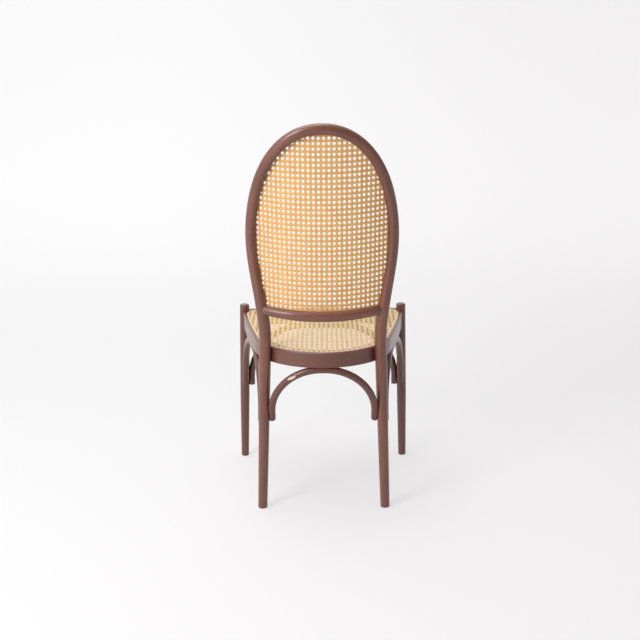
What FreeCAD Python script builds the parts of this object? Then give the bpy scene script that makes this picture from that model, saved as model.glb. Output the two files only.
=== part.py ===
import FreeCAD, Part
import math
import os
import Sketcher
from FreeCAD import Placement, Rotation, Vector

# A bentwood dining chair with a tall oval back. The sitter looks along -Y, Z is up, X is across.
# The origin is on the floor, under the middle of the chair's box. Sizes are millimetres and degrees.
SIZES = {
    # seat ring, seen from above: a rear arc, two bowed cheeks, two tight corners, a straight front
    "seat_height": 451,
    "seat_ring_tall": 40,
    "seat_ring_width": 32,
    "seat_arc_radius": 188,
    "seat_arc_y": -4.6,
    "seat_cheek_angle": 14,
    "seat_cheek_radius": 2200,
    "seat_corner_radius": 25,
    "seat_inner_corner_radius": 30,
    "cane_corner_radius": 50,
    "seat_front_reach": 246.6,
    "seat_edge_chamfer": 3,
    # woven seat and back: sheet, groove and the reed that wedges the sheet in its groove
    "cane_thickness": 2,
    "cane_hole_pitch": 25.4,
    "cane_hole_size": 13,
    "groove_inset": 9,
    "groove_width": 5,
    "groove_depth": 6,
    "reed_clearance": 0.1,
    # rear legs and back hoop, bent from one rod
    "rear_foot_spread": 165.5,
    "rear_foot_splay": 8.6,
    "rear_foot_size": 25,
    "rear_seat_spread": 151.4,
    "rear_leg_size": 32,
    "rear_leg_flat": 3,
    "rear_neck_spread": 150.5,
    "rear_neck_share": 0.516,
    "hoop_rail_spread": 156.5,
    "hoop_half_width": 180.4,
    "hoop_widest_height": 738,
    "hoop_top_height": 1028.8,
    "hoop_roundness": 2.15,
    "hoop_rail_width": 27,
    "hoop_rail_depth": 24,
    "hoop_squareness": 2.6,
    "hoop_blend_start": 480,
    "hoop_blend_end": 640,
    # the curved and leaning surface that the hoop and the crossrail follow
    "back_radius": 285,
    "back_lean": 6.5,
    "back_setback": 0.8,
    "crossrail_height": 548.5,
    "crossrail_rise": 8,
    "crossrail_tall": 27.5,
    "crossrail_end_tall": 24,
    "crossrail_depth": 22,
    "crossrail_squareness": 2.3,
    "back_groove_inset": 4,
    "back_groove_offset": 4.5,
    "back_cane_offset": 7,
    "back_reed_offset": 10.5,
    "dowel_size": 10,
    "dowel_long": 36,
    "dowel_start": 3,
    # front legs, turned, each with a flat notch that takes the corner of the ring
    "front_leg_size": 27,
    "front_foot_size": 22,
    "front_leg_taper": 190,
    "front_leg_rise": 19.5,
    "front_leg_out": 20.5,
    "front_leg_back": 23.4,
    "front_foot_splay": 8.7,
    "front_leg_flat": 4,
    "front_foot_cut": 0.3,
    "front_cap_round": 5,
    "foot_round": 2,
    # bent arches under the seat
    "arch_rod": 19,
    "arch_end_flat": 2.8,
    "arch_crown_flat": 1.2,
    "arch_end_round": 7.5,
    "arch_seat_height": 255,
    "rear_arch_crown": 4,
    "rear_arch_end": 30,
    "front_arch_crown": 55,
    "front_arch_end": 24.5,
    "side_arch_crown": 32,
    "side_arch_end": 38,
    "side_arch_rear_out": 4,
    # wood screws
    "screw_size": 4,
    "screw_head_size": 8,
    "screw_head_tall": 3,
    "screw_slot": 1,
    "screw_clearance": 0.05,
    "screw_sink": 0.8,
    "screw_gap": 17,
    "arch_screw_long": 26,
    "crown_screw_long": 40,
    "crown_screw_spread": 30,
    "leg_screw_long": 48,
}

doc = FreeCAD.newDocument("bentwood_chair")
sheet = doc.addObject("Spreadsheet::Sheet", "sizes")
for row, (word, value) in enumerate(SIZES.items(), start=1):
    sheet.set(f"A{row}", word)
    sheet.set(f"B{row}", str(value))
    sheet.setAlias(f"B{row}", word)
doc.recompute()

FLOOR_DEPTH = 60
EDGE_NEAR = 0.01
SECTION_POINTS = 12
ROD_SPANS = 8
SPAN_STATIONS = 8
EDGE_STATIONS = 41
RAIL_STATIONS = 13
TOOL_REACH = 140
SIDES = {"left": 1, "right": -1}


def size(word):
    return sheet.get(word)


def past_chair():
    """A length that reaches right past the chair, for tools that cut through it."""
    return 1.2 * size("hoop_top_height")


def sine(word):
    return math.sin(math.radians(size(word)))


def cosine(word):
    return math.cos(math.radians(size(word)))


def tangent(word):
    return math.tan(math.radians(size(word)))


def feature(name, shape):
    """A sub-part or tool whose shape is worked out from the sheet by this file."""
    thing = doc.addObject("Part::Feature", name)
    thing.Shape = shape
    thing.Placement = Placement()
    return thing


def cut(name, base, tools):
    """Base less each tool in turn; the last step carries the name."""
    for i, tool in enumerate(tools, start=1):
        last = i == len(tools)
        step = doc.addObject("Part::Cut", name if last else f"{name}_cut_{i}")
        step.Base = base
        step.Tool = tool
        step.Refine = False
        base = step
    return base


# Sketch helpers
def origin_plane(body, role):
    return next(part for part in body.Origin.OriginFeatures if part.Role == role)


def new_sketch(body, name, role, lift=None):
    """A sketch on one of the body's own origin planes, lifted along the plane's normal."""
    sketch = body.newObject("Sketcher::SketchObject", name)
    sketch.AttachmentSupport = [(origin_plane(body, role), "")]
    sketch.MapMode = "FlatFace"
    if lift:
        sketch.setExpression(".AttachmentOffset.Base.z", lift)
    return sketch


def worth(expression):
    return float(sheet.evalExpression(expression))


def limit(sketch, kind, places, expression):
    """A dimension of the sketch that follows an expression on the sheet."""
    index = sketch.addConstraint(Sketcher.Constraint(kind, *places, worth(expression)))
    sketch.setExpression(f"Constraints[{index}]", expression)


def join(sketch, kind, *places):
    sketch.addConstraint(Sketcher.Constraint(kind, *places))


ORIGIN_POINT = (-1, 1)
X_LINE = -1
Y_LINE = -2


def place_point(sketch, place, across, along):
    """Holds one sketch point at two expressions, or on an axis where one of them is 0."""
    for kind, axis, expression in (("DistanceX", Y_LINE, across), ("DistanceY", X_LINE, along)):
        if expression == "0":
            join(sketch, "PointOnObject", *place, axis)
        else:
            limit(sketch, kind, (*ORIGIN_POINT, *place), expression)


def outline_sketch(sketch, points):
    """A closed outline of straight lines through points that are pairs of expressions."""
    corners = [Vector(worth(a), worth(b), 0) for a, b in points]
    count = len(corners)
    for i, corner in enumerate(corners):
        sketch.addGeometry(Part.LineSegment(corner, corners[(i + 1) % count]), False)
    for i, (across, along) in enumerate(points):
        join(sketch, "Coincident", (i - 1) % count, 2, i, 1)
        place_point(sketch, (i, 1), across, along)


def arc(centre, radius, start, end):
    circle = Part.Circle(centre, Vector(0, 0, 1), radius)
    return Part.ArcOfCircle(circle, start, end)


# Seat ring
def ring_numbers(inset, corner_radius):
    """Radii, centres and tangent angles of the ring's outline, inset from its outer edge."""
    rear = size("seat_arc_radius") - inset
    cheek = size("seat_cheek_radius") - inset
    turn = math.radians(size("seat_cheek_angle"))
    arc_centre = Vector(0, size("seat_arc_y"), 0)
    shift = rear - cheek
    cheek_centre = arc_centre + Vector(shift * math.cos(turn), shift * math.sin(turn), 0)
    front = size("seat_arc_y") - size("seat_front_reach") + inset
    drop = front + corner_radius - cheek_centre.y
    across = math.sqrt((cheek - corner_radius) ** 2 - drop**2)
    corner_centre = Vector(cheek_centre.x + across, front + corner_radius, 0)
    return rear, cheek, turn, arc_centre, cheek_centre, corner_centre, math.atan2(drop, across)


def ring_outline(sketch, inset, corner):
    """The ring's outline at an inset: rear arc, two cheeks, two corners and the front."""
    corner_radius = worth(corner)
    numbers = ring_numbers(worth(inset), corner_radius)
    rear, cheek, turn, arc_centre, cheek_centre, corner_centre, bend = numbers
    mirror_cheek = Vector(-cheek_centre.x, cheek_centre.y, 0)
    mirror_corner = Vector(-corner_centre.x, corner_centre.y, 0)
    low = Vector(0, -corner_radius, 0)
    first = sketch.GeometryCount
    pieces = [
        arc(arc_centre, rear, turn, math.pi - turn),
        arc(cheek_centre, cheek, bend, turn),
        arc(corner_centre, corner_radius, -math.pi / 2, bend),
        Part.LineSegment(corner_centre + low, mirror_corner + low),
        arc(mirror_corner, corner_radius, math.pi - bend, 1.5 * math.pi),
        arc(mirror_cheek, cheek, math.pi - turn, math.pi - bend),
    ]
    for piece in pieces:
        sketch.addGeometry(piece, False)
    rear_arc, right_cheek, right_corner, front, left_corner, left_cheek = range(first, first + 6)
    join(sketch, "Tangent", rear_arc, 1, right_cheek, 2)
    join(sketch, "Tangent", right_cheek, 1, right_corner, 2)
    join(sketch, "Tangent", right_corner, 1, front, 1)
    join(sketch, "Tangent", front, 2, left_corner, 2)
    join(sketch, "Tangent", left_corner, 1, left_cheek, 2)
    join(sketch, "Tangent", left_cheek, 1, rear_arc, 2)
    join(sketch, "PointOnObject", rear_arc, 3, Y_LINE)
    limit(sketch, "DistanceY", (*ORIGIN_POINT, rear_arc, 3), "sizes.seat_arc_y")
    limit(sketch, "Radius", (rear_arc,), f"sizes.seat_arc_radius - ({inset})")
    for side in (right_cheek, left_cheek):
        limit(sketch, "Radius", (side,), f"sizes.seat_cheek_radius - ({inset})")
    for side in (right_corner, left_corner):
        limit(sketch, "Radius", (side,), corner)
    join(sketch, "Horizontal", front)
    reach = f"sizes.seat_arc_y - sizes.seat_front_reach + ({inset})"
    limit(sketch, "DistanceY", (*ORIGIN_POINT, front, 1), reach)
    rise = f"(sizes.seat_arc_radius - ({inset})) * sin(sizes.seat_cheek_angle * 1deg)"
    for end in (1, 2):
        limit(sketch, "DistanceY", (rear_arc, 3, rear_arc, end), rise)


GROOVE_OUTER = "sizes.groove_inset", "sizes.cane_corner_radius"
GROOVE_INNER = (
    "sizes.groove_inset + sizes.groove_width",
    "sizes.cane_corner_radius - sizes.groove_width",
)
REED_OUTER = (
    "sizes.groove_inset + sizes.reed_clearance",
    "sizes.cane_corner_radius - sizes.reed_clearance",
)
REED_INNER = (
    "sizes.groove_inset + sizes.groove_width - sizes.reed_clearance",
    "sizes.cane_corner_radius - sizes.groove_width + sizes.reed_clearance",
)


def ring_blank():
    """The bent ring: padded down, top edge chamfered, grooved and rebated for the cane."""
    body = doc.addObject("PartDesign::Body", "seat_ring_blank")
    section = new_sketch(body, "seat_ring_section", "XY_Plane", "sizes.seat_height")
    ring_outline(section, "0", "sizes.seat_corner_radius")
    ring_outline(section, "sizes.seat_ring_width", "sizes.seat_inner_corner_radius")
    pad = body.newObject("PartDesign::Pad", "seat_ring_pad")
    pad.Profile = section
    pad.Reversed = True
    pad.setExpression("Length", "sizes.seat_ring_tall")
    doc.recompute()
    reach = size("seat_arc_y") + size("seat_arc_radius")
    edges = [
        f"Edge{i}"
        for i, edge in enumerate(pad.Shape.Edges, start=1)
        if edge.BoundBox.ZMin > size("seat_height") - EDGE_NEAR
        and edge.BoundBox.YMax > reach - EDGE_NEAR
    ]
    chamfer = body.newObject("PartDesign::Chamfer", "seat_ring_edge")
    chamfer.Base = (pad, edges[:1])
    chamfer.setExpression("Size", "sizes.seat_edge_chamfer")
    doc.recompute()
    groove = new_sketch(body, "seat_groove_section", "XY_Plane", "sizes.seat_height")
    ring_outline(groove, *GROOVE_OUTER)
    ring_outline(groove, *GROOVE_INNER)
    slot = body.newObject("PartDesign::Pocket", "seat_groove")
    slot.Profile = groove
    slot.setExpression("Length", "sizes.groove_depth")
    rebate_section = new_sketch(body, "seat_rebate_section", "XY_Plane", "sizes.seat_height")
    ring_outline(rebate_section, *GROOVE_INNER)
    rebate = body.newObject("PartDesign::Pocket", "seat_rebate")
    rebate.Profile = rebate_section
    rebate.setExpression("Length", "sizes.cane_thickness")
    doc.recompute()
    if not rebate.Shape.Volume < slot.Shape.Volume < chamfer.Shape.Volume < pad.Shape.Volume:
        raise ValueError("a pocket of the seat ring cut nothing")
    return body


def ring_prism(name, outlines, tall):
    """A flat solid just under the seat's top, between outlines of the ring."""
    body = doc.addObject("PartDesign::Body", name)
    section = new_sketch(body, name + "_section", "XY_Plane", "sizes.seat_height")
    for inset, corner in outlines:
        ring_outline(section, inset, corner)
    pad = body.newObject("PartDesign::Pad", name + "_pad")
    pad.Profile = section
    pad.Reversed = True
    pad.setExpression("Length", tall)
    doc.recompute()
    return body


def ring_middle():
    return size("seat_height") - size("seat_ring_tall") / 2


def ring_bottom():
    return size("seat_height") - size("seat_ring_tall")


# Rear legs and hoop
def oval_section(centre, outward, rearward, width, depth, squareness):
    """One closed section of a bent rod: a circle, or a rounder or squarer oval."""
    points = []
    for i in range(SECTION_POINTS):
        angle = 2 * math.pi * i / SECTION_POINTS
        c = math.cos(angle)
        s = math.sin(angle)
        a = math.copysign(abs(c) ** (2 / squareness), c) * width / 2
        b = math.copysign(abs(s) ** (2 / squareness), s) * depth / 2
        points.append(centre + outward * a + rearward * b)
    curve = Part.BSplineCurve()
    curve.interpolate(points, PeriodicFlag=True)
    return Part.Wire([curve.toShape()])


def back_y():
    """The back's middle surface at the crossrail's height, set from the rear of the ring."""
    return size("seat_arc_y") + size("seat_arc_radius") + size("back_setback")


def back_y_at(x, z):
    """How far back the middle surface of the curved, leaning back is at x and z."""
    radius = size("back_radius")
    bow = (radius - math.sqrt(radius**2 - x**2)) / cosine("back_lean")
    return back_y() + (z - size("crossrail_height")) * tangent("back_lean") - bow


def back_normal(x):
    across = x / size("back_radius")
    along = math.sqrt(1 - across**2)
    return Vector(across, along * cosine("back_lean"), -along * sine("back_lean"))


def seat_leg_place():
    """Where the rear leg's middle passes the ring: outside its rear arc, sunk by the leg's flat."""
    gap = size("seat_arc_radius") + size("rear_leg_size") / 2 - size("rear_leg_flat")
    x = size("rear_seat_spread")
    return Vector(x, size("seat_arc_y") + math.sqrt(gap**2 - x**2), ring_middle())


def rear_foot_place():
    return Vector(size("rear_foot_spread"), seat_leg_place().y + size("rear_foot_splay"), 0)


def crossrail_z(x):
    return size("crossrail_height") + size("crossrail_rise") * (x / size("hoop_rail_spread")) ** 2


def rail_end_place():
    """Where the crossrail's middle line meets the hoop's."""
    x = size("hoop_rail_spread")
    z = crossrail_z(x)
    return Vector(x, back_y_at(x, z), z)


def neck_place():
    """Where the rod is narrowest, between the ring and the crossrail."""
    seat = seat_leg_place()
    neck = seat + (rail_end_place() - seat) * size("rear_neck_share")
    return Vector(size("rear_neck_spread"), neck.y, neck.z)


def half_rod_points():
    """The middle line of one half of the rod, from below the floor to the top of the hoop."""
    seat = seat_leg_place()
    foot = rear_foot_place()
    below = foot + (foot - seat) * (FLOOR_DEPTH / ring_middle())
    rail = rail_end_place()
    neck = neck_place()
    points = [below, foot, foot + (seat - foot) * 0.5, seat, neck, rail]
    power = 2 / size("hoop_roundness")
    tall = size("hoop_top_height") - size("hoop_widest_height")
    for degrees in range(90, -1, -15):
        angle = math.radians(degrees)
        x = size("hoop_half_width") * math.sin(angle) ** power
        z = size("hoop_widest_height") + tall * abs(math.cos(angle)) ** power
        points.append(Vector(x, back_y_at(x, z), z))
    return points


def rod_curve():
    half = half_rod_points()
    mirrored = [Vector(-p.x, p.y, p.z) for p in reversed(half[:-1])]
    curve = Part.BSplineCurve()
    curve.interpolate(half + mirrored)
    return curve


def blend(value, start, end):
    share = min(max((value - start) / (end - start), 0), 1)
    return share * share * (3 - 2 * share)


def rear_leg_width(z):
    share = min(z / ring_middle(), 1)
    return size("rear_foot_size") + (size("rear_leg_size") - size("rear_foot_size")) * share


def rod_sizes(z):
    """Width, depth and squareness of the rod's section at a height."""
    width = rear_leg_width(z)
    share = blend(z, size("hoop_blend_start"), size("hoop_blend_end"))
    return (
        width + (size("hoop_rail_width") - size("rear_leg_size")) * share,
        width + (size("hoop_rail_depth") - size("rear_leg_size")) * share,
        2 + (size("hoop_squareness") - 2) * share,
    )


def floor_box():
    """What lies below the floor, which levels the feet."""
    deep = 2 * FLOOR_DEPTH
    reach = past_chair()
    return Part.makeBox(2 * reach, 2 * reach, deep, Vector(-reach, -reach, -deep))


def rod_solid():
    """Both rear legs and the hoop, as one bent rod that is cut off level at the floor."""
    curve = rod_curve()
    sections = []
    for point in curve.discretize(Number=ROD_SPANS * SPAN_STATIONS + 1):
        along = Vector(*curve.tangent(curve.parameter(point))[0])
        rearward = back_normal(point.x)
        rearward = (rearward - along * rearward.dot(along)).normalize()
        outward = along.cross(rearward)
        sections.append(oval_section(point, outward, rearward, *rod_sizes(point.z)))
    spans = []
    for i in range(0, ROD_SPANS * SPAN_STATIONS, SPAN_STATIONS):
        spans.append(Part.makeLoft(sections[i : i + SPAN_STATIONS + 1], True, False))
    rod = spans[0].multiFuse(spans[1:])
    rod = rod.cut(floor_box())
    edges = [edge for edge in rod.Edges if edge.BoundBox.ZMax < EDGE_NEAR]
    return rod.makeFillet(size("foot_round"), edges).Solids[0]


# Crossrail, woven back and its reed
def rail_solid():
    """The crossrail, bowed and leaning with the back, thicker in the middle than at its ends."""
    reach = size("hoop_rail_spread")
    upward = Vector(0, sine("back_lean"), cosine("back_lean"))
    sections = []
    for i in range(RAIL_STATIONS):
        share = 2 * i / (RAIL_STATIONS - 1) - 1
        x = reach * share
        z = crossrail_z(x)
        thinner = (size("crossrail_tall") - size("crossrail_end_tall")) * share**2
        shape = size("crossrail_depth"), size("crossrail_squareness")
        centre = Vector(x, back_y_at(x, z), z)
        tall = size("crossrail_tall") - thinner
        sections.append(oval_section(centre, upward, back_normal(x), tall, *shape))
    return Part.makeLoft(sections, True, False)


def back_shell(near, far):
    """The space between two offsets in front of the back's middle surface."""
    lean = Vector(0, sine("back_lean"), cosine("back_lean"))
    axis_y = back_y() - size("back_radius") / cosine("back_lean")
    base = Vector(0, axis_y, size("crossrail_height")) - lean * past_chair()
    outer = Part.makeCylinder(size("back_radius") - near, 2 * past_chair(), base, lean)
    return outer.cut(Part.makeCylinder(size("back_radius") - far, 2 * past_chair(), base, lean))


def panel_wire(inset):
    """The oval opening of the back, seen square on, moved inward from the rods' middle lines."""
    curve = rod_curve()
    neck = neck_place().z
    fine = 10
    side = []
    for point in curve.discretize(Number=fine * EDGE_STATIONS):
        along = Vector(*curve.tangent(curve.parameter(point))[0])
        inward = Vector(-along.z, 0, along.x).normalize()
        place = Vector(point.x, 0, point.z) + inward * inset
        if point.z > neck and place.z > crossrail_z(place.x) + inset:
            side.append(place)
    for end in (side[0], side[-1]):
        end.z = crossrail_z(end.x) + inset
    hoop = Part.BSplineCurve()
    hoop.interpolate([side[0]] + side[fine // 2 : -fine // 2 : fine] + [side[-1]])
    bottom = Part.Arc(side[0], Vector(0, 0, crossrail_z(0) + inset), side[-1])
    return Part.Wire([hoop.toShape(), bottom.toShape()])


def prism(outer, inner=None):
    face = Part.Face(outer)
    if inner:
        face = face.cut(Part.Face(inner))
    return face.extrude(Vector(0, past_chair(), 0))


def holes_in(face, edge, point_at, steps, rows):
    """Places on a square grid where a whole gap of the cane lies well inside a face."""
    pitch = size("cane_hole_pitch")
    clear = size("cane_hole_size") / 2 + size("cane_thickness")
    places = []
    for i in range(-steps, steps + 1):
        for j in range(-rows, rows + 1):
            place = point_at(i * pitch, j * pitch)
            inside = face.isInside(place, EDGE_NEAR, True)
            if inside and edge.distToShape(Part.Vertex(place))[0] > clear:
                places.append(place)
    return places


def back_panel(edge):
    """The woven back as one thin curved sheet with gaps."""
    box = edge.BoundBox
    face = Part.Face(edge)
    middle = box.Center
    pitch = size("cane_hole_pitch")
    places = holes_in(
        face,
        edge,
        lambda across, up: Vector(across, 0, middle.z + up),
        int(box.XMax / pitch),
        int(box.ZLength / 2 / pitch),
    )
    radius = size("cane_hole_size") / 2
    gaps = [Part.Face(Part.Wire(Part.makeCircle(radius, p, Vector(0, 1, 0)))) for p in places]
    net = face.cut(Part.makeCompound(gaps)).extrude(Vector(0, past_chair(), 0))
    near = size("back_cane_offset")
    return net.common(back_shell(near, near + size("cane_thickness")))


def seat_gaps():
    """The gaps of the woven seat, as pins to cut from its flat sheet."""
    sheet_body = doc.getObject("seat_cane_sheet")
    top = max(sheet_body.Shape.Faces, key=lambda face: face.CenterOfMass.z)
    box = top.BoundBox
    pitch = size("cane_hole_pitch")
    places = holes_in(
        top,
        top.OuterWire,
        lambda across, along: Vector(across, box.Center.y + along, size("seat_height")),
        int(box.XMax / pitch),
        int(box.YLength / 2 / pitch),
    )
    radius = size("cane_hole_size") / 2
    tall = 2 * size("cane_thickness")
    low = Vector(0, 0, -1.5 * size("cane_thickness"))
    return Part.makeCompound([Part.makeCylinder(radius, tall, p + low) for p in places])


# Wood screws and dowels
def slot_tool(head, direction):
    """The straight driving slot across a screw's head."""
    wide = size("screw_slot")
    long = 2 * size("screw_head_size")
    box = Part.makeBox(long, wide, 2 * wide, Vector(-long / 2, -wide / 2, -wide))
    box.Placement = Placement(head, Rotation(Vector(0, 0, 1), direction))
    return box


def screw(head, direction, length, extra=0.0):
    """A countersunk wood screw whose head is at a place; extra swells it into its own hole."""
    shank = size("screw_size") / 2 + extra
    crown = size("screw_head_size") / 2 + extra
    cone = size("screw_head_tall")
    tip = size("screw_size")
    neck = head + direction * cone
    end = head + direction * (length - tip)
    shape = Part.makeCone(crown, shank, cone, head, direction)
    shape = shape.fuse(Part.makeCylinder(shank, length - cone - tip, neck, direction))
    shape = shape.fuse(Part.makeCone(shank, shank / 4, tip + extra, end, direction))
    if extra:
        return shape.fuse(Part.makeCylinder(crown, cone, head - direction * cone, direction))
    return shape.cut(slot_tool(head, direction))


def screw_set(name, length_word, spots):
    """A node of alike screws, and the tool that drills their holes."""
    length = size(length_word)
    drilled = [screw(head, way, length, size("screw_clearance")) for head, way in spots]
    feature(name, Part.makeCompound([screw(head, way, length) for head, way in spots]))
    return feature(name + "_holes", Part.makeCompound(drilled))


def upright_pair(head, way):
    """Two screws, one over the other about a middle place."""
    half = Vector(0, 0, size("screw_gap") / 2)
    return [(head + half, way), (head - half, way)]


def rear_leg_screws():
    """From inside the ring, square through its rear arc into each rear leg."""
    spots = []
    centre = Vector(0, size("seat_arc_y"), ring_middle())
    face = size("seat_arc_radius") - size("seat_ring_width") + size("screw_sink")
    for side in SIDES.values():
        leg = seat_leg_place()
        way = (Vector(side * leg.x, leg.y, leg.z) - centre).normalize()
        spots += upright_pair(centre + way * face, way)
    return screw_set("rear_leg_screws", "leg_screw_long", spots)


def corner_way(side):
    """From the ring's inner corner to the front leg, the way that the leg's screws run."""
    z = ring_middle()
    leg = front_leg_place(z)
    inner = ring_numbers(size("seat_ring_width"), size("seat_inner_corner_radius"))[5]
    inner.z = z
    way = (leg - inner).normalize()
    return [Vector(side * spot.x, spot.y, spot.z) for spot in (way, leg, inner)]


def front_leg_screws():
    """From inside the ring, through its front corners into the front legs' flats."""
    spots = []
    for side in SIDES.values():
        way, _, inner = corner_way(side)
        face = size("seat_inner_corner_radius") + size("screw_sink")
        spots += upright_pair(inner + way * face, way)
    return screw_set("front_leg_screws", "leg_screw_long", spots)


def dowel_ends(side):
    """Where a crossrail dowel starts inside the hoop, and the way it runs into the rail."""
    rail = rail_end_place()
    hoop = Vector(side * rail.x, rail.y, rail.z)
    normal = back_normal(hoop.x)
    way = Vector(-side * normal.y, side * normal.x, 0).normalize()
    return hoop + way * size("dowel_start"), way


def dowels():
    radius = size("dowel_size") / 2
    pins = []
    for side in SIDES.values():
        start, way = dowel_ends(side)
        pins.append(Part.makeCylinder(radius, size("dowel_long"), start, way))
    return Part.makeCompound(pins)


# Front legs
def front_leg_tall():
    return size("seat_height") + size("front_leg_rise")


def front_leg_place(z, side=1):
    """The middle line of a front leg, outside the ring's corner, with its foot splayed."""
    corner = ring_numbers(0, size("seat_corner_radius"))[5]
    splay = size("front_foot_splay") * (1 - z / ring_middle())
    front = size("seat_arc_y") - size("seat_front_reach") + size("front_leg_back")
    return Vector(side * (corner.x + size("front_leg_out") + splay), front, z)


def round_edge(body, base, z, word):
    """Rounds the edge of a turned leg that lies at a height."""
    edges = [
        f"Edge{i}"
        for i, edge in enumerate(base.Shape.Edges, start=1)
        if edge.BoundBox.ZLength < EDGE_NEAR and abs(edge.BoundBox.ZMin - z) < EDGE_NEAR
    ]
    rounded = body.newObject("PartDesign::Fillet", f"{body.Name}_{word}")
    rounded.Base = (base, edges)
    rounded.setExpression("Radius", f"sizes.{word}")
    doc.recompute()
    return rounded


def front_leg_blank(name, side):
    """A turned leg: tapered below, straight above, with a rounded cap, leaning outward."""
    body = doc.addObject("PartDesign::Body", name + "_blank")
    profile = new_sketch(body, name + "_profile", "XZ_Plane")
    leg = "sizes.front_leg_size / 2"
    narrow = "sizes.front_foot_size / 2"
    tall = "sizes.seat_height + sizes.front_leg_rise"
    taper = "sizes.front_leg_taper"
    outline_sketch(profile, [("0", "0"), (narrow, "0"), (leg, taper), (leg, tall), ("0", tall)])
    turned = body.newObject("PartDesign::Revolution", name + "_turned")
    turned.Profile = profile
    turned.ReferenceAxis = (profile, ["V_Axis"])
    turned.Angle = 360
    doc.recompute()
    capped = round_edge(body, turned, front_leg_tall(), "front_cap_round")
    round_edge(body, capped, 0, "foot_round")
    lean = front_leg_place(front_leg_tall(), side) - front_leg_place(0, side)
    foot = front_leg_place(-size("front_foot_cut"), side)
    body.Placement = Placement(foot, Rotation(Vector(0, 0, 1), lean))
    doc.recompute()
    return body


def notch_tool(name, side):
    """What a front leg loses, so that its flat seats on the ring's corner."""
    way, leg, _ = corner_way(side)
    deep = size("front_leg_size")
    box = Part.makeBox(deep, 2 * deep, size("seat_ring_tall"), Vector(-deep, -deep, 0))
    seat = leg - way * size("front_leg_flat")
    turn = Placement(Vector(seat.x, seat.y, ring_bottom()), Rotation(Vector(1, 0, 0), way))
    box.transformShape(turn.toMatrix(), True)
    return feature(name + "_notch", box)


# Arches under the seat
def arch_blank(name, half_span, crown_word, end_word):
    """A rod bent into an arch, with straight ends, upright in its own X-Z plane."""
    half_crown = size(crown_word)
    radius = half_span - half_crown
    end = size(end_word)
    body = doc.addObject("PartDesign::Body", name + "_blank")
    path = new_sketch(body, name + "_path", "XZ_Plane")
    pieces = [
        Part.LineSegment(Vector(-half_span, -end, 0), Vector(-half_span, 0, 0)),
        arc(Vector(-half_crown, 0, 0), radius, math.pi / 2, math.pi),
        Part.LineSegment(Vector(-half_crown, radius, 0), Vector(half_crown, radius, 0)),
        arc(Vector(half_crown, 0, 0), radius, 0, math.pi / 2),
        Part.LineSegment(Vector(half_span, 0, 0), Vector(half_span, -end, 0)),
    ]
    for piece in pieces:
        path.addGeometry(piece, False)
    join(path, "Tangent", 0, 2, 1, 2)
    join(path, "Tangent", 1, 1, 2, 1)
    join(path, "Tangent", 2, 2, 3, 2)
    join(path, "Tangent", 3, 1, 4, 1)
    join(path, "Equal", 1, 3)
    join(path, "Equal", 0, 4)
    join(path, "PointOnObject", 0, 2, X_LINE)
    join(path, "Symmetric", 2, 1, 2, 2, Y_LINE)
    limit(path, "DistanceY", (0, 1, 0, 2), f"sizes.{end_word}")
    limit(path, "DistanceX", (2, 1, 2, 2), f"2 * sizes.{crown_word}")
    join(path, "Vertical", 0)
    join(path, "Vertical", 4)
    join(path, "Radius", 1, radius)
    section = new_sketch(body, name + "_section", "XY_Plane", f"-sizes.{end_word}")
    circle = Part.Circle(Vector(-half_span, 0, 0), Vector(0, 0, 1), size("arch_rod") / 2)
    section.addGeometry(circle, False)
    limit(section, "Radius", (0,), "sizes.arch_rod / 2")
    join(section, "PointOnObject", 0, 3, X_LINE)
    join(section, "DistanceX", *ORIGIN_POINT, 0, 3, -half_span)
    pipe = body.newObject("PartDesign::AdditivePipe", name + "_pipe")
    pipe.Profile = section
    pipe.Spine = path
    doc.recompute()
    edges = [
        f"Edge{i}"
        for i, edge in enumerate(pipe.Shape.Edges, start=1)
        if edge.BoundBox.ZMax < EDGE_NEAR - end
    ]
    rounded = body.newObject("PartDesign::Fillet", name + "_ends")
    rounded.Base = (pipe, edges)
    rounded.setExpression("Radius", "sizes.arch_end_round")
    doc.recompute()
    return body


def rear_leg_place(z, side=1):
    share = z / ring_middle()
    place = rear_foot_place() + (seat_leg_place() - rear_foot_place()) * share
    return Vector(side * place.x, place.y, place.z)


def crown_height():
    return ring_bottom() - size("arch_rod") / 2 + size("arch_crown_flat")


def cheek_x(y, inset):
    """How far out one of the ring's cheeks is at y, inset from its outer side."""
    numbers = ring_numbers(inset, size("seat_corner_radius"))
    cheek, centre = numbers[1], numbers[4]
    return centre.x + math.sqrt(cheek**2 - (y - centre.y) ** 2)


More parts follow.
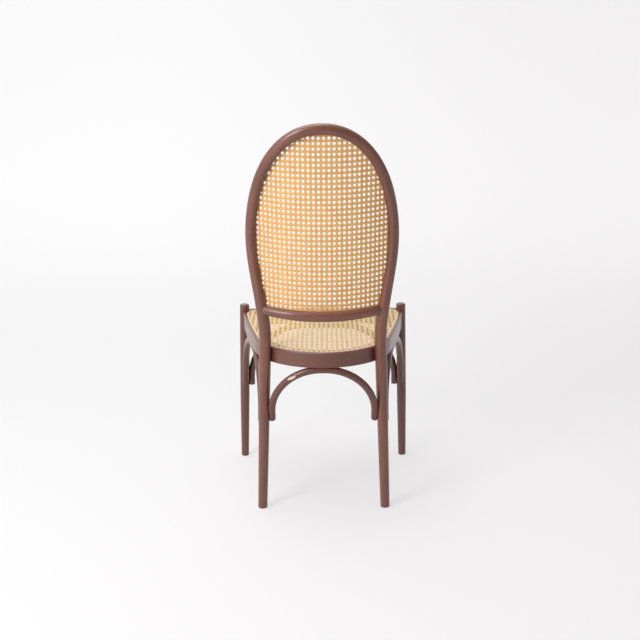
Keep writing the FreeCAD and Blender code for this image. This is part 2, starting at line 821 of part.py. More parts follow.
class Arch:
    """An arch set between two legs, whose crown lies under the ring at a place."""

    def __init__(self, name, legs, widths, crown, crown_word, end_word):
        self.name = name
        self.end = size(end_word)
        self.half_crown = size(crown_word)
        self.across = (legs[1] - legs[0]).normalize()
        beside = [width / 2 + size("arch_rod") / 2 - size("arch_end_flat") for width in widths]
        start = legs[0] + self.across * beside[0]
        finish = legs[1] - self.across * beside[1]
        self.half_span = (finish - start).Length / 2
        self.radius = self.half_span - self.half_crown
        middle = (start + finish) / 2
        lean = Vector(crown.x - middle.x, crown.y - middle.y, 0)
        lean = lean - self.across * lean.dot(self.across)
        slope = lean.Length / self.radius
        drop = self.radius * math.sqrt(1 - slope**2)
        self.up = (lean + Vector(0, 0, drop)).normalize()
        level = crown_height() - drop
        self.middle = Vector(middle.x, middle.y, level) + lean * (self.end / 2 / self.radius)
        self.body = arch_blank(name, self.half_span, crown_word, end_word)
        turn = Rotation(self.across, self.up.cross(self.across), self.up, "XZY")
        self.body.Placement = Placement(self.middle, turn)

    def end_screws(self):
        """Two screws through each end, driven from inside the arch into the leg."""
        spots = []
        low = self.middle - self.up * (self.end / 2)
        for side in (-1, 1):
            way = self.across * side
            face = self.half_span - size("arch_rod") / 2 + size("screw_sink")
            for step in (-0.5, 0.5):
                spots.append((low + way * face + self.up * (step * size("screw_gap")), way))
        return spots

    def crown_screws(self, spread):
        """Two screws straight up through the crown into the ring."""
        past = max(spread - self.half_crown, 0)
        rise = math.sqrt(self.radius**2 - past**2)
        face = Vector(0, 0, size("screw_sink") - size("arch_rod") / 2)
        top = self.middle + self.up * rise + face
        return [(top + self.across * (side * spread), Vector(0, 0, 1)) for side in (-1, 1)]


def make_arches():
    z = size("arch_seat_height")
    rear_width = rear_leg_width(z)
    front_width = size("front_leg_size")
    half_ring = size("seat_ring_width") / 2
    rear_y = size("seat_arc_y") + size("seat_arc_radius") - half_ring
    front_y = size("seat_arc_y") - size("seat_front_reach") + half_ring
    arches = [
        Arch(
            "rear_arch",
            (rear_leg_place(z, -1), rear_leg_place(z, 1)),
            (rear_width, rear_width),
            Vector(0, rear_y, 0),
            "rear_arch_crown",
            "rear_arch_end",
        ),
        Arch(
            "front_arch",
            (front_leg_place(z, -1), front_leg_place(z, 1)),
            (front_width, front_width),
            Vector(0, front_y, 0),
            "front_arch_crown",
            "front_arch_end",
        ),
    ]
    for word, side in SIDES.items():
        rear = rear_leg_place(z, side) + Vector(side * size("side_arch_rear_out"), 0, 0)
        front = front_leg_place(z, side)
        middle_y = (rear.y + front.y) / 2
        arches.append(
            Arch(
                f"side_arch_{word}",
                (rear, front),
                (rear_width, front_width),
                Vector(side * cheek_x(middle_y, size("arch_rod") / 2), middle_y, 0),
                "side_arch_crown",
                "side_arch_end",
            )
        )
    return arches


# Everything, and what each piece gives up to its neighbours
def build():
    ring = ring_blank()
    rod = feature("rear_hoop_blank", rod_solid())
    floor = feature("floor", floor_box())
    legs = []
    for word, side in SIDES.items():
        name = f"front_leg_{word}"
        blank = front_leg_blank(name, side)
        legs.append(cut(name + "_notched", blank, [notch_tool(name, side), floor]))
    doc.recompute()

    outer = panel_wire(size("back_groove_inset"))
    inner = panel_wire(size("back_groove_inset") + size("groove_width"))
    groove_space = back_shell(size("back_groove_offset"), TOOL_REACH)
    rebate_space = back_shell(size("back_cane_offset"), TOOL_REACH)
    groove = feature("back_groove_tool", prism(outer, inner).common(groove_space))
    rebate = feature("back_rebate_tool", prism(inner).common(rebate_space))
    reed_wires = [
        panel_wire(size("back_groove_inset") + size("reed_clearance")),
        panel_wire(size("back_groove_inset") + size("groove_width") - size("reed_clearance")),
    ]
    reed_space = back_shell(size("back_groove_offset"), size("back_reed_offset"))
    feature("back_cane_reed", prism(*reed_wires).common(reed_space))
    feature("back_cane", back_panel(inner))

    ring_prism("seat_cane_reed", [REED_OUTER, REED_INNER], "sizes.groove_depth")
    seat_sheet = ring_prism("seat_cane_sheet", [GROOVE_INNER], "sizes.cane_thickness")
    cut("seat_cane", seat_sheet, [feature("seat_cane_gaps", seat_gaps())])

    pins = feature("crossrail_dowels", dowels())
    rail = feature("back_crossrail_blank", rail_solid())
    cut("back_crossrail", rail, [rod, groove, rebate, pins])

    rear_holes = rear_leg_screws()
    corner_holes = front_leg_screws()
    arches = make_arches()
    end_holes = [
        screw_set(f"{arch.name}_screws", "arch_screw_long", arch.end_screws()) for arch in arches
    ]
    crown_spots = []
    for arch in arches:
        crown_spots += arch.crown_screws(size("crown_screw_spread"))
    crown_holes = screw_set("arch_crown_screws", "crown_screw_long", crown_spots)
    doc.recompute()

    cut("seat_ring", ring, [*legs, rear_holes, corner_holes, crown_holes])
    rear_ends = [end_holes[0], end_holes[2], end_holes[3]]
    cut("rear_hoop", rod, [ring, groove, rebate, pins, rear_holes, *rear_ends])
    for leg, word, side_holes in zip(legs, SIDES, end_holes[2:]):
        cut(f"front_leg_{word}", leg, [corner_holes, end_holes[1], side_holes])
    for arch, holes in zip(arches, end_holes):
        cut(arch.name, arch.body, [ring, rod, *legs, holes, crown_holes])
    doc.recompute()


NODES = [
    "rear_hoop",
    "back_crossrail",
    "crossrail_dowels",
    "back_cane",
    "back_cane_reed",
    "seat_ring",
    "seat_cane",
    "seat_cane_reed",
    "front_leg_left",
    "front_leg_right",
    "rear_arch",
    "front_arch",
    "side_arch_left",
    "side_arch_right",
    "rear_leg_screws",
    "front_leg_screws",
    "rear_arch_screws",
    "front_arch_screws",
    "side_arch_left_screws",
    "side_arch_right_screws",
    "arch_crown_screws",
]


def save():
    for thing in doc.Objects:
        if {"Invalid", "Error"} & set(thing.State):
            raise ValueError(f"{thing.Name} failed: {thing.State}")
    for name in NODES:
        shape = doc.getObject(name).Shape
        if shape.isNull() or not shape.isValid() or not shape.Solids:
            raise ValueError(f"{name} has no sound solid")
    os.makedirs("parts", exist_ok=True)
    for name in NODES:
        shape = doc.getObject(name).Shape
        shape.exportStep(f"parts/{name}.step")
        box = shape.BoundBox
        spans = f"y {box.YMin:.1f} to {box.YMax:.1f}, z {box.ZMin:.1f} to {box.ZMax:.1f}"
        print(f"{name}: {len(shape.Solids)} solids, {shape.Volume / 1000:.1f} cm3, {spans}")


build()
save()
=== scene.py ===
# %% [markdown]
# # A bentwood dining chair with a cane back and seat
# This notebook dresses a chair whose wooden pieces come ready made from a CAD model. We keep
# those solids where they are and give them a stained, lacquered finish. The woven cane is too
# fine for the solids, so we weave it here, strand by strand. Sizes and places are in metres.

# %% Load the chair
import math

import bpy
import numpy as np
from mathutils import Euler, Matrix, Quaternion, Vector


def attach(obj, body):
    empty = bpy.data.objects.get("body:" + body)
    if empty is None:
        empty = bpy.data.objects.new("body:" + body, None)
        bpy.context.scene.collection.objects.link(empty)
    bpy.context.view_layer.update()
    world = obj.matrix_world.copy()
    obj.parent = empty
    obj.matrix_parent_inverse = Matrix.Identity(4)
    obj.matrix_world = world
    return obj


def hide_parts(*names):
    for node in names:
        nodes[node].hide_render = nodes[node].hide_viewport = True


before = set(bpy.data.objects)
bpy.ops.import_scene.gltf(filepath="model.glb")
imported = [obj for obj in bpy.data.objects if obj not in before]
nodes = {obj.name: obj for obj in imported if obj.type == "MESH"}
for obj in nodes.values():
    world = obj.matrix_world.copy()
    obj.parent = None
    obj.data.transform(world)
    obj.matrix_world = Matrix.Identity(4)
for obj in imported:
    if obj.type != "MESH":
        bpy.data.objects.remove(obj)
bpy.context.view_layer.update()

# %% [markdown]
# ## The view
# The chair is seen from behind and a little above, through a long lens, so the camera stands
# behind the chair on +Y and looks along -Y, pitched down. A long lens keeps the front and the
# rear legs nearly the same size. The picture also turns by a third of a degree.

# %% Camera
LENS = 65
CAMERA_PLACE = (0, 3.002, 1.360)
CAMERA_PITCH = math.radians(16.22)
CAMERA_ROLL = math.radians(-0.37)
CAMERA_SHIFT = -0.0043

camera_data = bpy.data.cameras.new("camera")
camera_data.lens = LENS
camera_data.shift_x = CAMERA_SHIFT
camera = bpy.data.objects.new("camera", camera_data)
camera.location = CAMERA_PLACE
aim = Euler((math.pi / 2 - CAMERA_PITCH, 0, math.pi)).to_quaternion()
camera.rotation_euler = (aim @ Quaternion((0, 0, 1), CAMERA_ROLL)).to_euler()
bpy.context.scene.collection.objects.link(camera)
bpy.context.scene.camera = camera
print("camera:", LENS, "mm lens at", CAMERA_PLACE)

# %% [markdown]
# ## Small helpers
# A material is a tree of nodes. These helpers keep the trees short: one adds a node and feeds
# its inputs, one does arithmetic, and one makes an empty node group with named sockets.


# %% Helpers for node trees
def add(tree, kind, inputs=None, **settings):
    """Adds a node, sets its properties, and feeds its inputs with values or other sockets."""
    node = tree.nodes.new("ShaderNode" + kind)
    for name, value in settings.items():
        setattr(node, name, value)
    for name, value in (inputs or {}).items():
        if isinstance(value, bpy.types.NodeSocket):
            tree.links.new(value, node.inputs[name])
        else:
            node.inputs[name].default_value = value
    return node


def maths(tree, operation, *values):
    """One step of arithmetic on numbers or sockets."""
    return add(tree, "Math", dict(enumerate(values)), operation=operation).outputs[0]


def blend(tree, factor, first, second):
    """A colour between two colours."""
    inputs = {0: factor, 6: first, 7: second}
    return add(tree, "Mix", inputs, data_type="RGBA").outputs[2]


def spread(tree, value, low, high, to_low=0.0, to_high=1.0):
    """A value whose range from low to high becomes another range, smoothly."""
    inputs = {"Value": value, 1: low, 2: high, 3: to_low, 4: to_high}
    return add(tree, "MapRange", inputs, interpolation_type="SMOOTHSTEP").outputs[0]


def noise(tree, place, scale, detail=2.0):
    """Soft random values around a half, finer where the scale is larger."""
    inputs = {"Vector": place, "Scale": scale, "Detail": detail}
    return add(tree, "TexNoise", inputs).outputs["Fac"]


def new_group(name, inputs, outputs):
    """A new node group: inputs are name, kind and default, outputs are name and kind."""
    group = bpy.data.node_groups.new(name, "ShaderNodeTree")
    for label, kind, default in inputs:
        socket = group.interface.new_socket(label, in_out="INPUT", socket_type="NodeSocket" + kind)
        socket.default_value = default
    for label, kind in outputs:
        group.interface.new_socket(label, in_out="OUTPUT", socket_type="NodeSocket" + kind)
    given = group.nodes.new("NodeGroupInput").outputs
    wanted = group.nodes.new("NodeGroupOutput").inputs
    return group, given, wanted


def use_group(tree, group, inputs=None):
    """Places a group in a tree with its own values and gives back its outputs."""
    return add(tree, "Group", inputs, node_tree=group).outputs


def new_material(name):
    """A material with its Principled shader, and the tree that holds them."""
    material = bpy.data.materials.new(name)
    material.use_nodes = True
    tree = material.node_tree
    return material, tree, tree.nodes["Principled BSDF"].inputs


print("helpers ready")

# %% [markdown]
# ## Stained and lacquered beech
# The wood that shows is beech, stained a dark reddish brown and lacquered to a satin, and all
# but the turned front legs was steamed and bent in a mould. Beech has fine straight pores and
# short darker flecks, and in bent wood both follow the bend. So the grain group measures its
# place along the bend and across it: it takes a place relative to the bend's centre, and below
# the centre it runs straight down. The lacquer is a coat over the stain. On the edges of the
# hoop and the crossrail hands have rubbed the stain thinner, and the rear arch has lost one chip
# down to bare wood, so two more groups make masks for those. The seat ring, the front legs and
# the arches get less of the warm stain and come out darker: this is painted shade for the lower
# light on those pieces, and the painted light level says how far.

# %% The grain group
STREAK = 420.0
STREAK_ALONG = 16.0
FLECK = 700.0
FLECK_ALONG = 120.0
CLOUD = 34.0
CLOUD_ALONG = 5.0

grain, given, wanted = new_group(
    "Bent wood grain",
    [("Place", "Vector", (0, 0, 0)), ("Rise Stretch", "Float", 1.0)],
    [("Streaks", "Float"), ("Flecks", "Float"), ("Clouds", "Float")],
)
axes = add(grain, "SeparateXYZ", {0: given["Place"]}).outputs
rise = maths(grain, "MULTIPLY", maths(grain, "MAXIMUM", axes["Z"], 0.0), given["Rise Stretch"])
fall = maths(grain, "MINIMUM", axes["Z"], 0.0)
across_square = maths(grain, "POWER", axes["X"], 2.0)
square = maths(grain, "ADD", across_square, maths(grain, "POWER", rise, 2.0))
reach = maths(grain, "SQRT", square)
turned = maths(grain, "MULTIPLY", reach, maths(grain, "ARCTAN2", rise, axes["X"]))
straight = maths(grain, "MULTIPLY", fall, maths(grain, "SIGN", axes["X"]))
along = maths(grain, "ADD", turned, straight)
for label, across, lengthwise, low, high in (
    ("Streaks", STREAK, STREAK_ALONG, 0.3, 0.7),
    ("Flecks", FLECK, FLECK_ALONG, 0.58, 0.72),
    ("Clouds", CLOUD, CLOUD_ALONG, 0.25, 0.75),
):
    place = add(
        grain,
        "CombineXYZ",
        {
            "X": maths(grain, "MULTIPLY", reach, across),
            "Y": maths(grain, "MULTIPLY", axes["Y"], across),
            "Z": maths(grain, "MULTIPLY", along, lengthwise),
        },
    ).outputs[0]
    grain.links.new(spread(grain, noise(grain, place, 1.0), low, high), wanted[label])
print("grain group:", len(grain.nodes), "nodes")

# %% The rubbed edge group
EDGE_SOFTNESS = 0.06
PATCH_EDGE = (0.35, 0.65)

rubbing, given, wanted = new_group(
    "Rubbed edges",
    [("Edge Start", "Float", 0.52), ("Patch Scale", "Float", 60.0)],
    [("Mask", "Float")],
)
sharpness = add(rubbing, "NewGeometry").outputs["Pointiness"]
where = add(rubbing, "TexCoord").outputs["Object"]
edge_end = maths(rubbing, "ADD", given["Edge Start"], EDGE_SOFTNESS)
edge = spread(rubbing, sharpness, given["Edge Start"], edge_end)
patches = spread(rubbing, noise(rubbing, where, given["Patch Scale"]), *PATCH_EDGE)
rubbing.links.new(maths(rubbing, "MULTIPLY", edge, patches), wanted["Mask"])
print("rubbed edge group:", len(rubbing.nodes), "nodes")

# %% The chipped spot group
CHIP_TEAR = 900.0
CHIP_RAGGEDNESS = 0.5
CHIP_EDGE = (1.05, 1.3)

chipping, given, wanted = new_group(
    "Chipped spot",
    [
        ("Centre", "Vector", (0, 0, 0)),
        ("Turn", "Vector", (0, 0, 0)),
        ("Reach", "Vector", (1, 1, 1)),
    ],
    [("Mask", "Float")],
)
where = add(chipping, "TexCoord").outputs["Object"]
spot = {
    "Vector": where,
    "Location": given["Centre"],
    "Rotation": given["Turn"],
    "Scale": given["Reach"],
}
inside = add(chipping, "Mapping", spot, vector_type="TEXTURE").outputs[0]
distance = add(chipping, "VectorMath", {0: inside}, operation="LENGTH").outputs["Value"]
tear = noise(chipping, where, CHIP_TEAR)
ragged = maths(chipping, "MULTIPLY_ADD", tear, CHIP_RAGGEDNESS, distance)
chipping.links.new(spread(chipping, ragged, *CHIP_EDGE, 1.0, 0.0), wanted["Mask"])
print("chipped spot group:", len(chipping.nodes), "nodes")

# %% The lacquered wood
DARK_STAIN = (0.122, 0.037, 0.022, 1)
WARM_STAIN = (0.245, 0.079, 0.046, 1)
RUBBED_STAIN = (0.40, 0.20, 0.13, 1)
BARE_WOOD = (0.75, 0.58, 0.40, 1)
STREAK_SHARE = 0.45
CLOUD_SHARE = 0.55
FLECK_SHARE = 0.35
SATIN = (0.36, 0.48)
PORE_DEPTH = 0.0004
PORE_STRENGTH = 0.08
LACQUER_WEIGHT = 0.6
LACQUER_ROUGHNESS = 0.2


def lacquered_beech(name, centre, order, stretch=1.0, painted_light_level=1.0, wear=0.0, chip=None):
    """Stained beech with its grain bent round a centre; order is across, through and up."""
    material, tree, shader = new_material(name)
    place = add(tree, "TexCoord").outputs["Object"]
    offset = add(tree, "VectorMath", {0: place, 1: centre}, operation="SUBTRACT").outputs[0]
    axes = add(tree, "SeparateXYZ", {0: offset}).outputs
    ordered = {"X": axes[order[0]], "Y": axes[order[1]], "Z": axes[order[2]]}
    bent = add(tree, "CombineXYZ", ordered).outputs[0]
    wood = use_group(tree, grain, {"Place": bent, "Rise Stretch": stretch})
    clouds = maths(tree, "MULTIPLY", wood["Clouds"], CLOUD_SHARE)
    tone = maths(tree, "MULTIPLY_ADD", wood["Streaks"], STREAK_SHARE, clouds)
    # Painted shade: a painted light level below one pulls the stain towards the dark stain.
    stain = blend(tree, maths(tree, "MULTIPLY", tone, painted_light_level), DARK_STAIN, WARM_STAIN)
    flecks = maths(tree, "MULTIPLY", wood["Flecks"], FLECK_SHARE)
    color = blend(tree, flecks, stain, DARK_STAIN)
    if wear:
        rub = use_group(tree, rubbing)["Mask"]
        color = blend(tree, maths(tree, "MULTIPLY", rub, wear), color, RUBBED_STAIN)
    if chip:
        color = blend(tree, use_group(tree, chipping, chip)["Mask"], color, BARE_WOOD)
    tree.links.new(color, shader["Base Color"])
    tree.links.new(spread(tree, wood["Streaks"], 0, 1, *SATIN), shader["Roughness"])
    pores = {"Height": wood["Streaks"], "Strength": PORE_STRENGTH, "Distance": PORE_DEPTH}
    tree.links.new(add(tree, "Bump", pores).outputs[0], shader["Normal"])
    shader["Coat Weight"].default_value = LACQUER_WEIGHT
    shader["Coat Roughness"].default_value = LACQUER_ROUGHNESS
    return material


print("stain from", DARK_STAIN[:3], "to", WARM_STAIN[:3])

# %% [markdown]
# ## Dress the wooden pieces
# Each kind of piece bends round its own centre, in its own plane, so each kind gets its own
# material from the one function. The letters name the chair's axes across the bend, through it
# and up it.

# %% Materials of the wooden pieces
HOOP_CENTRE = (0, 0.19, 0.738)
HOOP_STRETCH = 0.62
RAIL_CENTRE = (0, 0.17, 0)
RING_CENTRE = (0, -0.0046, 0.431)
LEG_CENTRE = (0, 0, 0.6)
ARCH_CENTRE = (0, 0, 0.27)
SIDE_ARCH_CENTRE = (0.19, -0.049, 0.27)
# Painted shade: these pieces take less of the warm stain, so they come out darker, as if less
# light fell on them.
RING_PAINTED_LIGHT_LEVEL = 0.45
LEG_PAINTED_LIGHT_LEVEL = 0.3
ARCH_PAINTED_LIGHT_LEVEL = 0.1
EDGE_WEAR = 0.6
ARCH_CHIP = {
    "Centre": (0.0812, 0.1741, 0.381),
    "Turn": (0, 0.46, 0),
    "Reach": (0.013, 0.012, 0.0034),
}

hoop_wood = lacquered_beech("hoop_beech", HOOP_CENTRE, "XYZ", HOOP_STRETCH, wear=EDGE_WEAR)
rail_wood = lacquered_beech("crossrail_beech", RAIL_CENTRE, "ZYX", wear=EDGE_WEAR)
ring_wood = lacquered_beech("seat_ring_beech", RING_CENTRE, "XZY", painted_light_level=RING_PAINTED_LIGHT_LEVEL)
leg_wood = lacquered_beech("front_leg_beech", LEG_CENTRE, "XYZ", painted_light_level=LEG_PAINTED_LIGHT_LEVEL)
arch_wood = lacquered_beech("arch_beech", ARCH_CENTRE, "XYZ", painted_light_level=ARCH_PAINTED_LIGHT_LEVEL)
chipped_arch_wood = lacquered_beech(
    "chipped_arch_beech", ARCH_CENTRE, "XYZ", painted_light_level=ARCH_PAINTED_LIGHT_LEVEL, chip=ARCH_CHIP
)
side_arch_wood = lacquered_beech("side_arch_beech", SIDE_ARCH_CENTRE, "YXZ", painted_light_level=ARCH_PAINTED_LIGHT_LEVEL)


def dress(node, material):
    """Gives a piece from the CAD model its material."""
    node.data.materials.clear()
    node.data.materials.append(material)


for name, material in {
    "rear_hoop": hoop_wood,
    "back_crossrail": rail_wood,
    "seat_ring": ring_wood,
    "front_leg_left": leg_wood,
    "front_leg_right": leg_wood,
    "rear_arch": chipped_arch_wood,
    "front_arch": arch_wood,
    "side_arch_left": side_arch_wood,
    "side_arch_right": side_arch_wood,
}.items():
    dress(nodes[name], material)
print("wood materials:", len(bpy.data.materials))

# %% [markdown]
# ## Woven cane
# Chair cane is the split bark of rattan. Half-inch mesh has six sets of strands: upright pairs,
# crosswise pairs woven through them, and two sets of diagonals that pass over one pair and
# under the other, which leaves the round-looking holes. An image or a bump would look flat
# against the light, so every strand here is a thin ribbon that rises and dips along its way.
# The lattice has its pair crossings at whole numbers and its holes halfway between. The stations,
# the end margin, the shortest strand and the long way are in its steps, and the section is in
# shares of a strand's width and thickness.

# %% The strand and the lattice
STRAND_WIDTH = 0.0026
STRAND_THICK = 0.0005
PAIR_HALF_GAP = 0.00145
WEAVE_RISE = 0.00026
DIAGONAL_RISE = 0.00052
DIAGONAL_SHARPNESS = 0.4
SECTION = [(-0.5, -0.5), (0.5, -0.5), (0.5, 0.05), (0.24, 0.5), (-0.24, 0.5), (-0.5, 0.05)]
FAMILIES = ("uprights", "crosses", "rising", "falling")
PAIRS = ("uprights", "crosses")
PAIR_STATIONS = (-0.115, 0.0, 0.115, 0.32, 0.68)
DIAGONAL_STATIONS = (-0.12, 0.0, 0.12, 0.25)
END_MARGIN = 0.03
SHORTEST = 0.0026
LONG_WAY = 500.0
PARALLEL = 1e-12


def pair_wave(distance):
    """How far a strand of a pair is pushed where it meets the two strands of the other pair."""
    share = distance / PAIR_HALF_GAP
    return WEAVE_RISE * share * np.exp(0.5 * (1 - share**2))


def diagonal_wave(turns):
    """A diagonal runs flat over one pair and flat under the other, and changes quickly between."""
    swing = np.cos(2 * math.pi * turns)
    return DIAGONAL_RISE * np.sign(swing) * np.abs(swing) ** DIAGONAL_SHARPNESS


def cross(a, b, c):
    """Positive where the way from a over b to c turns left."""
    return (b[0] - a[0]) * (c[1] - a[1]) - (b[1] - a[1]) * (c[0] - a[0])


def hull(points):
    """The outline round a flat set of points, anticlockwise."""
    ordered = sorted(set(map(tuple, np.round(points, 5))))
    chains = []
    for run in (ordered, ordered[::-1]):
        chain = []
        for p in run:
            while len(chain) > 1 and cross(chain[-2], chain[-1], p) <= 0:
                chain.pop()
            chain.append(p)
        chains += chain[:-1]
    return np.array(chains)


def clip(outline, start, way):
    """Where a line enters and leaves an outline, in steps of its way, or None if it misses."""
    low, high = -LONG_WAY, LONG_WAY
    for a, b in zip(outline, np.roll(outline, -1, axis=0)):
        side = b - a
        inward = np.array([-side[1], side[0]])
        speed = inward @ way
        away = inward @ (a - start)
        if abs(speed) < PARALLEL:
            if away > 0:
                return None
        elif speed > 0:
            low = max(low, away / speed)
        else:
            high = min(high, away / speed)
    return (low, high) if high - low > SHORTEST else None


print("strand:", STRAND_WIDTH * 1000, "by", STRAND_THICK * 1000, "mm")

# %% [markdown]
# ## From lines to ribbons
# Every strand starts as a straight line on the flat lattice, cut off at the panel's outline. It
# gets a height at each stop along its way, and a six-sided section is then carried along it.


# %% The four sets of strands
def lines_of(family, pitch, box):
    """Each line's start, way and push, and which way its strand is measured."""
    lowest = np.floor(box.min(0)).astype(int) - 1
    highest = np.ceil(box.max(0)).astype(int) + 1
    span = int(sum(highest - lowest))
    gap = PAIR_HALF_GAP / pitch
    lines = []
    if family in PAIRS:
        axis = 0 if family == "uprights" else 1
        for k in range(lowest[axis], highest[axis] + 1):
            for side in (-1, 1):
                start = np.zeros(2)
                start[axis] = k + side * gap[axis]
                way = np.array([0.0, 1.0]) if axis == 0 else np.array([1.0, 0.0])
                push = -side if axis == 0 else side
                lines.append((start, way, push, 1 - axis))
    else:
        slope = 1 if family == "rising" else -1
        for n in range(-span, span + 1):
            lines.append((np.array([n + 0.5, 0.0]), np.array([slope, 1.0]), -slope, 1))
    return lines


def stops_of(family, first, last):
    """Where a strand has a point: close together where it meets others, and at both its ends."""
    stations, step = (PAIR_STATIONS, 1) if family in PAIRS else (DIAGONAL_STATIONS, 0.5)
    steps = np.arange(math.floor(first) - 1, math.ceil(last) + 2, step)
    stops = (steps[:, None] + np.array(stations)).ravel()
    stops = stops[(stops > first + END_MARGIN) & (stops < last - END_MARGIN)]
    return np.concatenate([[first], stops, [last]])


def strands_of(family, pitch, origin, outline):
    """Each strand's places on the flat lattice and its heights, clipped to the outline."""
    strands = []
    for start, way, push, measure in lines_of(family, pitch, (outline - origin) / pitch):
        ends = clip(outline, origin + start * pitch, way * pitch)
        if ends is None:
            continue
        stops = stops_of(family, *ends)
        places = origin + (start + stops[:, None] * way) * pitch
        if family in PAIRS:
            heights = push * pair_wave((stops - np.round(stops)) * pitch[measure])
        else:
            heights = push * diagonal_wave(stops)
        strands.append((places, heights))
    return strands


print("four sets:", FAMILIES)


# %% The ribbons
def unit(ways):
    """The same directions, each of length one."""
    return ways / np.linalg.norm(ways, axis=1)[:, None]


def weave(node, family, pitch, origin, outline, lay, material):
    """Builds one set of strands as a mesh; lay turns flat places and heights into the chair's."""
    name = node + "_" + family
    rng = np.random.default_rng(sum(map(ord, name)))
    ring = len(SECTION)
    points, faces, marks = [], [], []
    count = 0
    for places, heights in strands_of(family, pitch, origin, outline):
        middle = lay(places, heights)
        normal = unit(lay(places, heights + STRAND_THICK) - middle)
        across = unit(np.cross(np.gradient(middle, axis=0), normal))
        lengths = np.linalg.norm(np.diff(middle, axis=0), axis=1)
        along = np.concatenate([[0], np.cumsum(lengths)])
        chance = rng.random()
        for side, up in SECTION:
            points.append(middle + across * side * STRAND_WIDTH + normal * up * STRAND_THICK)
            row = [along, np.full_like(along, side), np.full_like(along, chance)]
            marks.append(np.stack(row, 1))
        total = len(middle)
        for i in range(ring):
            a = count + i * total
            b = count + (i + 1) % ring * total
            faces += [(a + k, b + k, b + k + 1, a + k + 1) for k in range(total - 1)]
        for k in (0, total - 1):
            cap = [count + i * total + k for i in range(ring)]
            faces.append(cap if k else cap[::-1])
        count += ring * total
    mesh = bpy.data.meshes.new(name)
    mesh.from_pydata(np.concatenate(points).tolist(), [], faces)
    mesh.shade_smooth()
    mark = mesh.attributes.new("strand", "FLOAT_VECTOR", "POINT")
    mark.data.foreach_set("vector", np.concatenate(marks).astype(np.float32).ravel())
    mesh.materials.append(material)
    piece = bpy.data.objects.new(name, mesh)
    bpy.context.scene.collection.objects.link(piece)
    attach(piece, "root")
    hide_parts(node)
    print(name, "has", len(mesh.polygons), "faces")


print("section has", len(SECTION), "corners")

# %% [markdown]
# ## The colour of the cane
# The bark side of cane is glossy and the strands differ a little from one another and along
# their length. Each strand carries its own number and its length, so the material can tint one
# strand warmer than the next and draw fine lines along it. The back has aged to an orange tan
# and the seat has stayed a pale straw, so both use one group with their own colours.

# %% The cane group
DRIFT_ALONG = 22.0
LINE_ALONG = 160.0
LINE_ACROSS = 9.0
OWN_STEP = 40.0
DRIFT_SHARE = 0.9
LINE_SHARE = 0.5
OWN_SHARE = 0.5
TONE_OFFSET = -0.45
TONE_RANGE = (0.1, 0.9)

cane_tone, given, wanted = new_group(
    "Cane strand tone",
    [("Pale", "Color", (1, 1, 1, 1)), ("Deep", "Color", (0, 0, 0, 1))],
    [("Color", "Color"), ("Lines", "Float")],
)
mark = add(cane_tone, "Attribute", attribute_name="strand").outputs["Vector"]
length, side, chance = add(cane_tone, "SeparateXYZ", {0: mark}).outputs
own = maths(cane_tone, "MULTIPLY", chance, OWN_STEP)
run = {"X": maths(cane_tone, "MULTIPLY", length, DRIFT_ALONG), "Y": own}
drift = noise(cane_tone, add(cane_tone, "CombineXYZ", run).outputs[0], 1.0)
fine = {
    "X": maths(cane_tone, "MULTIPLY", length, LINE_ALONG),
    "Y": maths(cane_tone, "MULTIPLY", side, LINE_ACROSS),
    "Z": own,
}
line = noise(cane_tone, add(cane_tone, "CombineXYZ", fine).outputs[0], 1.0)
amount = maths(cane_tone, "MULTIPLY_ADD", chance, OWN_SHARE, TONE_OFFSET)
amount = maths(cane_tone, "MULTIPLY_ADD", line, LINE_SHARE, amount)
amount = maths(cane_tone, "MULTIPLY_ADD", drift, DRIFT_SHARE, amount)
tone = spread(cane_tone, amount, *TONE_RANGE)
cane_tone.links.new(blend(cane_tone, tone, given["Pale"], given["Deep"]), wanted["Color"])
cane_tone.links.new(line, wanted["Lines"])
print("cane group:", len(cane_tone.nodes), "nodes")

# %% The two cane materials
PALE_TAN = (0.98, 0.60, 0.21, 1)
DEEP_TAN = (0.86, 0.43, 0.13, 1)
PALE_STRAW = (0.84, 0.64, 0.35, 1)
DEEP_STRAW = (0.66, 0.43, 0.19, 1)
CANE_LINE_RANGE = (0.2, 0.8)
CANE_GLOSS = (0.34, 0.52)
CANE_LINE_STRENGTH = 0.2
CANE_LINE_DEPTH = 0.0002


def cane_material(name, pale, deep):
    """Cane between two colours, with fine lines along each strand."""
    material, tree, shader = new_material(name)
    tint = use_group(tree, cane_tone, {"Pale": pale, "Deep": deep})
    tree.links.new(tint["Color"], shader["Base Color"])
    gloss = spread(tree, tint["Lines"], *CANE_LINE_RANGE, *CANE_GLOSS)
    tree.links.new(gloss, shader["Roughness"])
    lines = {
        "Height": tint["Lines"],
        "Strength": CANE_LINE_STRENGTH,
        "Distance": CANE_LINE_DEPTH,
    }
    tree.links.new(add(tree, "Bump", lines).outputs[0], shader["Normal"])
    return material


back_cane = cane_material("back_cane_tan", PALE_TAN, DEEP_TAN)
seat_cane = cane_material("seat_cane_straw", PALE_STRAW, DEEP_STRAW)
print("cane materials:", back_cane.name, seat_cane.name)

# %% [markdown]
# ## The woven back
# The back panel is a sheet bent round a leaning cylinder, so a flat place on the sheet becomes
# an angle round the cylinder and a distance up it. The outline comes from the solid that the
# weave replaces, unrolled flat. The webbing was pulled taller than wide when it was fitted.

# %% Lay the back
BACK_LEAN = math.radians(6.5)
BACK_RADIUS = 0.285
BACK_Y = 0.1842
RAIL_HEIGHT = 0.5485
BACK_DEPTH = 0.008
BACK_PITCH = np.array([0.0127, 0.01333])
BACK_ORIGIN = np.array([0.0019, 0.01284])

